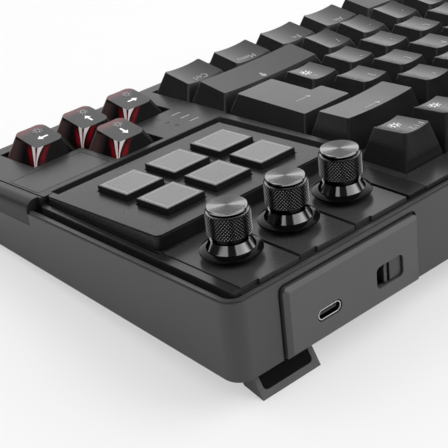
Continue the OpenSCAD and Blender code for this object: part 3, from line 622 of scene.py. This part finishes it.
def smoky_sides(name):
    """Dark smoky walls with painted highlight strips that widen upwards at the near corner and a painted red
    glow past them.
    """
    material, wire, shader, place = new_finish(name, Roughness=0.12, IOR=1.12)
    along, up = paint_spot(wire)
    turned_side = along.math("GREATER_THAN", along, TURNED / 2)
    along = along - turned_side * TURNED
    near = along.math("GREATER_THAN", along, 0)
    share = (up - CAP_FOOT) / (ARROW_TOP - CAP_FOOT)
    # How far a spot lies from the upright corner, and how wide the painted highlight strip beside it is
    top_in = TOP_IN_X - (TOP_IN_X - TOP_IN_Y) * turned_side
    inward = (cap_width(1) / 2 - top_in * share) - along.math("ABSOLUTE", along)
    beyond = inward - (0.15 + 0.75 * share)
    flare = share * share * share * (1 - turned_side) * 4.2 + share * turned_side * 1.9
    width = 0.25 + flare
    cloud = noise(wire, place, 5, 3)
    # Painted highlight strips beside the near corner
    glint_strip = (beyond / width).between(0, 0.85, 0.15) * near
    past = beyond - width - 1.1 * (1 - turned_side)
    glow = near * past.between(-0.6, 1.2, 1.4) * share.between(0, 0.6, 0.35) * (0.25 + cloud.ramp(0.3, 0.6))
    core = near * inward.between(-2, 0.5, 0.4) * share.between(-0.1, 0.55, 0.3)
    # A painted haze of light seen through the wall, over most of the left side and the front of the right
    # side
    painted_haze_mask = turned_side * along.between(-20, -3.5, 4.5) * share.between(-0.2, 0.92, 0.1)
    body = cloud.mix(grey(0.002), grey(0.007))
    red = wire.math("MINIMUM", glow + core, 1).mix(body, GLOW)
    glint_strip.mix(painted_haze_mask.mix(red, PAINTED_HAZE), PAINTED_GLINT).into(shader, "Base Color")
    return material


def smoky_top(name):
    """A dark top that blushes towards its front edge."""
    material, wire, shader, place = new_finish(name, IOR=1.4)
    rearward = paint_spot(wire)[1]
    cloud = noise(wire, place, 6, 3)
    (rearward + cloud * 2).ramp(-1.5, -4.5).mix(grey(0.04), BLUSH).into(shader, "Base Color")
    (0.3 + cloud * 0.08).into(shader, "Roughness")
    return material


side_paint = smoky_sides("smoky_sides")
top_paint = smoky_top("smoky_top")
# Each key's place and the way that its arrow points
ARROWS = {"right_arrow_key": (PITCH, 0, 0), "down_arrow_key": (0, 0, -math.pi / 2),
          "left_arrow_key": (-PITCH, 0, math.pi), "up_arrow_key": (0, PITCH, math.pi / 2)}
arrow_blank = cap_blank(1, ARROW_TOP, ROW_RISE[0], sink=0.06, round_off=0.8, far_corner=2.4)
paint_map(arrow_blank)
for node, (x, y, turn) in ARROWS.items():
    shell = copy_to(arrow_blank, node + "_cap", x, y)
    mark = lay_on(arrow_mark(node + "_legend", x - 0.4, y + 1.6, 4, turn, 0.8, 1.6), shell)
    icon = lay_on(sun_mark(node + "_icon", x - 1.6, y - 3, 3.4), shell)
    zones = [int(face.normal.z > TOP_FACE) for face in shell.data.polygons]
    mount(shell, side_paint, node, "smoky_cap", node)
    dress_zones(shell, (side_paint, top_paint), zones)
    mount(mark, white_ink, node, "smoky_cap")
    mount(icon, ink_finish, node, "smoky_cap")
discard(arrow_blank)

# Display keys: a glossy block with a grey label and its thin frame on top
PLATE_Y, PLATE_Z, PLATE_SLOPE = 32.175, 2.0, math.radians(2.9)
DISPLAY_X, DISPLAY_Y, DISPLAY_PITCH = 3.375, 60.775, 18.6
DISPLAY_KEY, LABEL, LABEL_FRAME = 14.4, 13.5, 12.1
DISPLAY_RISE = 1.9


def on_plate(piece):
    """Sets a piece that was made level onto the sloping display plate."""
    clear_selection()
    hinge = Vector((0, PLATE_Y * MM, PLATE_Z * MM))
    turn = Matrix.Rotation(PLATE_SLOPE, 4, "X")
    piece.matrix_world = Matrix.Translation(hinge) @ turn @ Matrix.Translation((0, -PLATE_Y * MM, 0))
    apply_place(piece)
    return piece


def square(name, size, low, high):
    """A square block round the upright axis."""
    return block(name, (-size / 2, -size / 2, low), (size / 2, size / 2, high))


key_blank = square("key_blank", DISPLAY_KEY, -2.6, DISPLAY_RISE)
pick(key_blank, "FACE", lambda f: f.normal.z < -0.9)
bpy.ops.mesh.inset(thickness=0.4 * MM)
push_out(0, 0, -0.4)
soften(key_blank, 0.35)
label_blank = square("label_blank", LABEL, DISPLAY_RISE - 0.04, DISPLAY_RISE + 0.03)
pick(label_blank, "FACE", lambda f: f.normal.z > 0.9)
bpy.ops.mesh.inset(thickness=0.75 * MM)
soften(label_blank, 0.03, 2)
frame_blank = square("frame_blank", LABEL_FRAME, DISPLAY_RISE, DISPLAY_RISE + 0.05)
pick(frame_blank, "FACE", lambda f: abs(f.normal.z) > 0.9)
bpy.ops.mesh.inset(thickness=0.22 * MM)
bpy.ops.mesh.bridge_edge_loops()
for i in range(6):
    x = DISPLAY_X + (1 - i % 3) * DISPLAY_PITCH
    y = DISPLAY_Y + (0.5 - i // 3) * DISPLAY_PITCH
    node = f"display_key_{i + 1}"
    key = on_plate(copy_to(key_blank, node + "_block", x, y))
    label = on_plate(copy_to(label_blank, node + "_label", x, y))
    line = on_plate(copy_to(frame_blank, node + "_label_frame", x, y))
    mount(key, key_finish, node, "clear_key", node)
    mount(label, label_finish, node, "clear_key")
    mount(line, frame_finish, node, "clear_key")
discard(key_blank, label_blank, frame_blank)

# Small dark signs beside the indicator dashes, on the slope of the front cover
COVER_Z, COVER_SLOPE = 0.7, math.radians(2.3)
signs = [lettering("sign", "1", -20.6, 13.4, 2.6), lettering("sign", "A", -20.8, 18.4, 2.6),
         arrow_mark("sign", -20, 23.6, 2.4, -math.pi / 2, 0.5, 1.1)]
signs = join("indicator_signs", signs)
clear_selection()
signs.matrix_world = (Matrix.Translation((0, 0, COVER_Z * MM)) @ Matrix.Rotation(COVER_SLOPE, 4, "X")
                      @ Matrix.Translation((0, 0, (0.04 - PRINT_Z) * MM)))
apply_place(signs)
modify(signs, "SOLIDIFY", thickness=0.02 * MM, offset=1)
mount(signs, icon_ink, "case", "trim")

# A black strip in the channel along the front and left edges of the display plate, laid there as painted
# shade for the dark channel, with a lip along each
SHADE_STRIP_LOW, SHADE_STRIP_HIGH = (-31.3, 32.45, -1.97), (37.3, 34.9, -1.6)
SHADE_STRIP_ARM_X, SHADE_STRIP_ARM_LENGTH = -28.95, 50.9
LIP_X, LIP_Y = -31.0, 32.8
LIP_OUT, LIP_UP = 1.45, 1.55


def on_front_lip(middle):
    return middle.y < LIP_Y * MM


def on_left_lip(middle):
    return middle.x < LIP_X * MM and middle.y > LIP_Y * MM


shade_strip = block("channel_shade_strip", SHADE_STRIP_LOW, SHADE_STRIP_HIGH)
pick(shade_strip, "FACE", lambda f: f.normal.y > 0.9)
cut((SHADE_STRIP_ARM_X, 0, 0), (1, 0, 0))
pick(shade_strip, "FACE", lambda f: f.normal.y > 0.9 and f.calc_center_median().x < SHADE_STRIP_ARM_X * MM)
push_out(0, SHADE_STRIP_ARM_LENGTH, 0)
for across, on_lip, reach in (((0, 1, 0), on_front_lip, (0, -LIP_OUT, LIP_UP)),
                              ((1, 0, 0), on_left_lip, (-LIP_OUT, 0, LIP_UP))):
    pick(shade_strip, "FACE", lambda f: f.normal.z > 0.9)
    cut((LIP_X, LIP_Y, 0), across)
    pick(shade_strip, "FACE", lambda f: f.normal.z > 0.9 and f.calc_center_median().z > (SHADE_STRIP_HIGH[2] - 0.1) * MM
         and on_lip(f.calc_center_median()))
    push_out(*reach)
soften(shade_strip, 0.04, 2)
mount(on_plate(shade_strip), rubber_and_shade_finish, "case", "rubber")


# Knobs
def turned(name, profile, segments):
    """A turned piece round the upright axis: a ring of edges pushed up and resized along a profile."""
    clear_selection()
    bpy.ops.mesh.primitive_circle_add(vertices=segments, radius=profile[0][0] * MM,
                                      location=(0, 0, profile[0][1] * MM))
    piece = bpy.context.object
    piece.name = name
    apply_place(piece)
    pick(piece, "EDGE", lambda e: True)
    for (r0, z0), (r1, z1) in zip(profile, profile[1:]):
        bpy.ops.mesh.extrude_edges_move(TRANSFORM_OT_translate={"value": (0, 0, (z1 - z0) * MM)})
        grow(r1 / r0, r1 / r0, 1)
    return piece


def close_up(piece):
    """Turns all the faces of a turned piece outwards."""
    pick(piece, "FACE", lambda f: True)
    bpy.ops.mesh.normals_make_consistent(inside=False)


# Outlines as radius and height: foot and cone, knurled grip, neck and disc, and the fine rings of its top
KNOB_TOP = 15.1
GRIP_LOW, GRIP_LENGTH = 7.3, 6.2
KNURL_ROWS, KNURL_ROUND = 12, 84
VALLEY, PEAK = 5.9, 6.35
RING_STEP, RING_DEPTH = 0.24, 0.04
cone = [(6.8, 2.72), (6.9, 2.8), (6.9, 2.95), (6.82, 3.08), (5.62, 5.4), (5.2, 5.55), (5.2, 6.95),
        (5.7, 7.15)]
grip = [(VALLEY, GRIP_LOW + GRIP_LENGTH * i / KNURL_ROWS) for i in range(KNURL_ROWS + 1)]
disc = [(5.95, 13.56), (5.3, 13.95), (5.1, 14.0), (5.1, 14.28), (5.55, 14.3), (5.7, 14.42), (5.7, 14.85),
        (5.6, 15.03), (5.52, KNOB_TOP)]
spun = []
for i in range(22):
    r = 5.5 - i * RING_STEP
    spun += [(r, KNOB_TOP), (r - RING_STEP / 2, KNOB_TOP - RING_DEPTH)]
knob_blank = turned("knob_blank", cone + grip + disc + spun, KNURL_ROUND)
bpy.ops.mesh.edge_face_add()
pick(knob_blank, "EDGE", lambda e: e.is_boundary)
bpy.ops.mesh.edge_face_add()
close_up(knob_blank)


def knurl_peak(v):
    """Every other corner of the grip's grid, like the dark squares of a chessboard."""
    radius = math.hypot(v.co.x, v.co.y) / MM
    level = (v.co.z / MM - GRIP_LOW) / (GRIP_LENGTH / KNURL_ROWS)
    step = math.atan2(v.co.y, v.co.x) / (2 * math.pi) * KNURL_ROUND
    on_grip = abs(radius - VALLEY) < 0.05 and -0.1 < level < KNURL_ROWS + 0.1
    return on_grip and (round(level) + round(step)) % 2 == 0


def in_grip(z, slack):
    """Whether a height in metres lies on the grip, give or take a slack in millimetres."""
    return GRIP_LOW - slack < z / MM < GRIP_LOW + GRIP_LENGTH + slack


def knob_zone(face):
    """0 for the grip and the dark necks, 1 for polished metal and 2 for the spun top."""
    z = face.center.z / MM
    if z > KNOB_TOP - 0.03 or z > KNOB_TOP - 0.05 and face.area < 1e-7:
        return 2
    return int(z < 5.5 or 13.55 < z < 13.97 or z > 14.35)


pick(knob_blank, "VERT", knurl_peak)
grow(PEAK / VALLEY, PEAK / VALLEY, 1)
bpy.ops.object.mode_set(mode="OBJECT")
# Marks the knurl's crests, which the knob's finish paints paler as highlights
crest = knob_blank.data.attributes.new("crest", "FLOAT", "POINT")
for i, v in enumerate(knob_blank.data.vertices):
    crest.data[i].value = math.hypot(v.co.x, v.co.y) > (VALLEY + PEAK) / 2 * MM and in_grip(v.co.z, 0.05)
pick(knob_blank, "FACE", lambda f: in_grip(f.calc_center_median().z, 0))
bpy.ops.mesh.quads_convert_to_tris(quad_method="SHORTEST_DIAGONAL")
smooth(knob_blank, 22)
RING_OUTLINE = [(4.6, 1.2), (7.4, 1.2), (7.8, 1.25), (8.8, 1.65), (8.9, 1.75), (8.9, 2.05), (8.82, 2.2),
                (8.6, 2.3), (7.1, 2.69), (4.6, 2.69)]
ring_blank = turned("ring_blank", RING_OUTLINE, 96)
pick(ring_blank, "EDGE", lambda e: e.is_boundary)
bpy.ops.mesh.bridge_edge_loops()
close_up(ring_blank)
smooth(ring_blank, 35)
TILE_PITCH = 22.1
for i, name in enumerate(("right", "middle", "left")):
    x = KNOB_X - i * TILE_PITCH
    knob = copy_to(knob_blank, name + "_knob_metal", x, KNOB_Y)
    zones = [knob_zone(face) for face in knob.data.polygons]
    mount(knob, knob_finish, name + "_knob", "knob_metal", name + "_knob")
    dress_zones(knob, (knob_finish, polish_finish, spun_finish), zones)
    ring = copy_to(ring_blank, name + "_knob_ring_turned", x, KNOB_Y)
    mount(ring, ring_finish, name + "_knob", "ring", name + "_knob_ring")
discard(knob_blank, ring_blank)

# Finishes of the CAD nodes that stay as they are
for node, finish in {
    "bottom_case": case_finish, "deck_frame": deck_finish, "front_cover": cover_finish,
    "trim_plate": trim_finish, "indicator_lens": lens_finish, "display_housing": housing_finish,
    "screen_panel": screen_finish, "display_board": board_finish, "knob_tiles": tile_finish,
    "deck_strip": strip_finish, "encoders": can_finish, "encoder_board": board_finish,
    "switch_plate": plate_finish, "main_board": board_finish, "key_switches": switch_finish,
    "arrow_switches": red_switch, "rear_panel": panel_finish, "usb_shell": steel_finish,
    "usb_tongue": switch_finish, "io_board": board_finish, "mode_switch": can_finish,
    "mode_slider": slider_finish, "battery": cell_finish, "case_screws": steel_finish,
    "desk_pads": rubber_and_shade_finish, "right_foot": foot_finish, "left_foot": foot_finish,
    "right_foot_pad": rubber_and_shade_finish, "left_foot_pad": rubber_and_shade_finish, "right_shaft": steel_finish,
    "middle_shaft": steel_finish, "left_shaft": steel_finish,
}.items():
    dress(frame["nodes"][node], finish)

# Studio: a pale floor, an even white room and soft lamps
FLOOR_SIZE = 1.3
clear_selection()
bpy.ops.mesh.primitive_plane_add(size=FLOOR_SIZE, location=(0, 0, 0))
floor = bpy.context.object
floor.name = "floor"
paper, wire, shader, place = new_finish("floor_paper", Roughness=0.9, Specular_IOR_Level=0.2)
noise(wire, place, 300).mix(grey(0.81), grey(0.84)).into(shader, "Base Color")
white = wire.node("ShaderNodeEmission", None, {"Color": grey(0.9), "Strength": 1.0})
straight = wire.node("ShaderNodeLightPath", out="Is Camera Ray")
plain = Wire(paper.node_tree, shader.outputs[0])
lit = wire.node("ShaderNodeMixShader", None, {0: straight * 0.55, 1: plain, 2: white})
lit.into(paper.node_tree.nodes["Material Output"], "Surface")
dress(floor, paper)

world = bpy.data.worlds.new("room")
bpy.context.scene.world = world
world.use_nodes = True
room = Wire(world.node_tree)
background = world.node_tree.nodes["Background"]
background.inputs["Color"].default_value = (1, 1, 1, 1)
looking = room.node("ShaderNodeTexCoord", out="Generated")


def facing(direction):
    """How far a ray points along a direction, from -1 to 1."""
    return room.node("ShaderNodeVectorMath", {"operation": "DOT_PRODUCT"}, {0: looking, 1: direction},
                     "Value")


def fade(value, low, high):
    return value.ramp(low, high, "SMOOTHSTEP")


# Lit panels beyond the board and at both sides, a soft ceiling, and a dark gap where the viewer stands
TO_VIEWER, ALONG_FLOOR = (0.5715, 0.618, 0.5396), (0.679, 0.734, 0)
BACKDROP, DIM = 0.91, 0.03
height = facing((0, 0, 1))
front = facing(ALONG_FLOOR)
viewer = facing(TO_VIEWER)
back = fade(front, -0.25, -0.6) * fade(height, 0.02, 0.1) * (1.9 - 1.2 * fade(height, 0.2, 0.7))
upright = fade(height, 0.3, 0.45) * fade(height, 0.95, 0.75)
sides = fade(viewer, 0.965, 0.94) * fade(front, -0.45, -0.3) * upright * (0.8 + fade(front, 0.65, 0.1))
ceiling = fade(height, 0.8, 0.95) * 0.6
straight = room.node("ShaderNodeLightPath", out="Is Camera Ray")
glow = room.math("MAXIMUM", room.math("MAXIMUM", back, sides), ceiling) + DIM
(straight * BACKDROP + (1 - straight) * glow).into(background, "Strength")


LAMP_AIM = Vector((0.12, 0, 0.03))
LAMP_DISTANCE, LAMP_SIZE = 1.1, 1.0


def lamp(name, direction, power):
    """A large square lamp that lights the right end of the board without a glint of its own."""
    clear_selection()
    bpy.ops.object.light_add(type="AREA", location=LAMP_AIM + LAMP_DISTANCE * direction)
    made = bpy.context.object
    made.name = name
    made.data.shape = "SQUARE"
    made.data.size = LAMP_SIZE
    made.data.energy = power
    made.visible_glossy = False
    made.rotation_euler = (-direction).to_track_quat("-Z", "Y").to_euler()


lamp("left_lamp", Vector((-0.57, 0.375, 0.73)), 6.9)
lamp("right_lamp", Vector((0.54, -0.618, 0.57)), 3.5)

# Camera, placed in the board's frame
CAMERA_PLACE = Vector((227.7, 339.12, 166.1))
CAMERA_TURN = (62.9503, 5.7882, 137.2005)
CAMERA_LENS = 103.703
clear_selection()
bpy.ops.object.camera_add()
camera = bpy.context.object
turn = Euler([math.radians(a) for a in CAMERA_TURN])
camera.matrix_world = BOARD @ Matrix.LocRotScale(CAMERA_PLACE * MM, turn, None)
camera.data.lens = CAMERA_LENS
camera.data.sensor_width = 36
camera.data.clip_start = 0.01
bpy.context.scene.camera = camera
bpy.context.scene.view_settings.view_transform = "Standard"

clear_selection()
